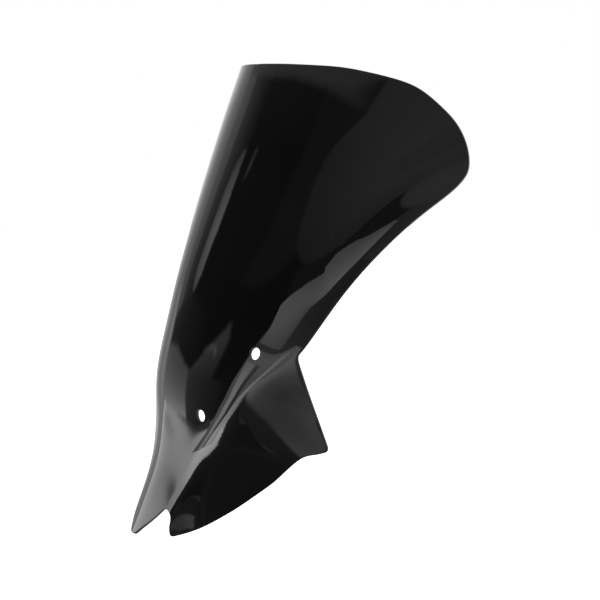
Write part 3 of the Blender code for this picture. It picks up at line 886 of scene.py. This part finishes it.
def near_panels():
    """The big graded panel ahead of the screen and the small cards beside its ledge."""
    material = glow_material("panel_glow")
    low_u, high_u, low_v, high_v = BOARD_SIZE
    u, v = np.meshgrid(np.arange(low_u, high_u + 0.1, BOARD_STEP),
                       np.arange(low_v, high_v + 0.1, BOARD_STEP))
    levels = np.full(u.shape, BOARD_BASE)
    for rows in BOARD:
        within, level = row_levels(rows, u, v)
        levels = np.where(within, level, levels)
    for _ in range(BOARD_SOFT):
        wide = np.pad(levels, 1, mode="edge")
        levels = (wide[:-2, 1:-1] + 2.0 * wide[1:-1, 1:-1] + wide[2:, 1:-1]) / 4.0
        wide = np.pad(levels, 1, mode="edge")
        levels = (wide[1:-1, :-2] + 2.0 * wide[1:-1, 1:-1] + wide[1:-1, 2:]) / 4.0
    panel("board", BOARD_AT, u, v, levels, material)
    facing = panel_axes()[2]
    for number, (middle, rows) in enumerate(CARDS):
        centre = np.array(middle) - CARD_GAP * number * facing
        table = np.array(rows, float)
        v = np.linspace(table[0, 0], table[-1, 0], CARD_ROWS)
        share = np.linspace(0.0, 1.0, CARD_COLUMNS)
        left, right, first, last = [np.interp(v, table[:, 0], table[:, k]) for k in (1, 2, 3, 4)]
        u = left[:, None] + (right - left)[:, None] * share
        levels = first[:, None] + (last - first)[:, None] * share
        v = np.repeat(v[:, None], CARD_COLUMNS, axis=1)
        panel("card_%d" % number, centre, u, v, levels, material)


def dome_material():
    """Light tent whose brightness depends only on direction."""
    material = bpy.data.materials.new("light_tent")
    material.use_nodes = True
    tree = material.node_tree
    tree.nodes.clear()
    nodes = Nodes(tree)
    place = nodes.add("ShaderNodeTexCoord").outputs["Object"]
    unit = nodes.add("ShaderNodeVectorMath")
    unit.operation = "NORMALIZE"
    nodes.link(place, unit.inputs[0])
    parts = nodes.add("ShaderNodeSeparateXYZ")
    nodes.link(unit.outputs["Vector"], parts.inputs[0])
    front = nodes.math("MULTIPLY", parts.outputs["Y"], -1.0)
    azimuth = nodes.math("MULTIPLY", nodes.math("ARCTAN2", parts.outputs["X"], front), DEGREES)
    elevation = nodes.math("MULTIPLY", nodes.math("ARCSINE", parts.outputs["Z"]), DEGREES)
    level = None
    for az0, az1, az_soft, el0, el1, el_soft, lean, bright in ZONES:
        across = elevation
        if lean:
            turned = nodes.math("MULTIPLY_ADD", azimuth, -lean)
            turned.node.inputs[2].default_value = lean * 0.5 * (az0 + az1)
            across = nodes.math("ADD", elevation, turned)
        mask = nodes.math("MULTIPLY", band(nodes, azimuth, az0, az1, az_soft),
                          band(nodes, across, el0, el1, el_soft))
        if level is None:
            level = nodes.math("MULTIPLY_ADD", mask, bright - BASE_LEVEL)
            level.node.inputs[2].default_value = BASE_LEVEL
            continue
        gap = nodes.math("SUBTRACT", bright, level)
        step = nodes.math("MULTIPLY", gap, mask)
        level = nodes.math("ADD", level, step)
    light = nodes.add("ShaderNodeEmission")
    nodes.link(level, light.inputs["Strength"])
    output = nodes.add("ShaderNodeOutputMaterial")
    nodes.link(light.outputs[0], output.inputs["Surface"])
    return material


def studio():
    """White surroundings, a light tent that the camera doesn't see, and a pale floor."""
    world = bpy.data.worlds.new("white_studio")
    world.use_nodes = True
    world.node_tree.nodes["Background"].inputs["Color"].default_value = (1.0, 1.0, 1.0, 1.0)
    world.node_tree.nodes["Background"].inputs["Strength"].default_value = 1.0
    bpy.context.scene.world = world
    mesh = bpy.data.meshes.new("light_tent")
    shape = bmesh.new()
    bmesh.ops.create_uvsphere(shape, u_segments=64, v_segments=32, radius=TENT_RADIUS)
    shape.to_mesh(mesh)
    shape.free()
    mesh.shade_smooth()
    mesh.materials.append(dome_material())
    dome = bpy.data.objects.new("light_tent", mesh)
    dome.location = TENT_CENTRE
    bpy.context.scene.collection.objects.link(dome)
    dome.visible_camera = False
    dome.visible_shadow = False
    floor_mesh = bpy.data.meshes.new("floor")
    shape = bmesh.new()
    bmesh.ops.create_circle(shape, cap_ends=True, segments=96, radius=FLOOR_RADIUS)
    shape.to_mesh(floor_mesh)
    shape.free()
    floor = bpy.data.objects.new("floor", floor_mesh)
    floor.location = (0.0, 0.0, CAD_LOW[2] - FLOOR_DROP)
    floor.visible_glossy = False
    pale = bpy.data.materials.new("pale_floor")
    pale.use_nodes = True
    nodes = Nodes(pale.node_tree)
    shader = pale.node_tree.nodes["Principled BSDF"]
    place = nodes.add("ShaderNodeTexCoord").outputs["Object"]
    mottle = nodes.noise(place, 3.0, 3.0)
    colour = nodes.mix(mottle, (0.86, 0.86, 0.86), (0.90, 0.90, 0.90))
    nodes.link(colour, shader.inputs["Base Color"])
    shader.inputs["Roughness"].default_value = 0.8
    shader.inputs["Emission Color"].default_value = (1.0, 1.0, 1.0, 1.0)
    shader.inputs["Emission Strength"].default_value = 0.8
    floor_mesh.materials.append(pale)
    bpy.context.scene.collection.objects.link(floor)
    bpy.context.scene.view_settings.view_transform = "Standard"


CAMERA_AZIMUTH = math.radians(66.0)
CAMERA_ELEVATION = math.radians(9.0)
CAMERA_DISTANCE = 1.2
CAMERA_TARGET = Vector((0.0, 0.0998, 0.0547))
CAMERA_LENS = 80.0


def camera():
    """Camera at the photograph's viewing angle: near side, slightly above."""
    data = bpy.data.cameras.new("camera")
    data.sensor_width = 36.0
    data.lens = CAMERA_LENS
    data.clip_start = 0.01
    data.clip_end = 50.0
    eye = bpy.data.objects.new("camera", data)
    flat = math.cos(CAMERA_ELEVATION)
    back = Vector((math.sin(CAMERA_AZIMUTH) * flat, -math.cos(CAMERA_AZIMUTH) * flat,
                   math.sin(CAMERA_ELEVATION)))
    eye.location = CAMERA_TARGET + back * CAMERA_DISTANCE
    eye.rotation_mode = "QUATERNION"
    eye.rotation_quaternion = (-back).to_track_quat("-Z", "Y")
    bpy.context.scene.collection.objects.link(eye)
    bpy.context.scene.camera = eye


# ---------------------------------------------------------------- assembly
screen_sheet(acrylic_material(), edge_material())
rubber = rubber_material()
for hole, s, q in HOLES:
    washer(hole, s, q, "left", rubber)
    washer(hole, s, q, "right", rubber)
foam = foam_material()
pad("nose_pad", *NOSE_PAD, False, foam)
pad("cheek_pad_left", *CHEEK_PAD, False, foam)
pad("cheek_pad_right", *CHEEK_PAD, True, foam)
studio()
near_panels()
camera()
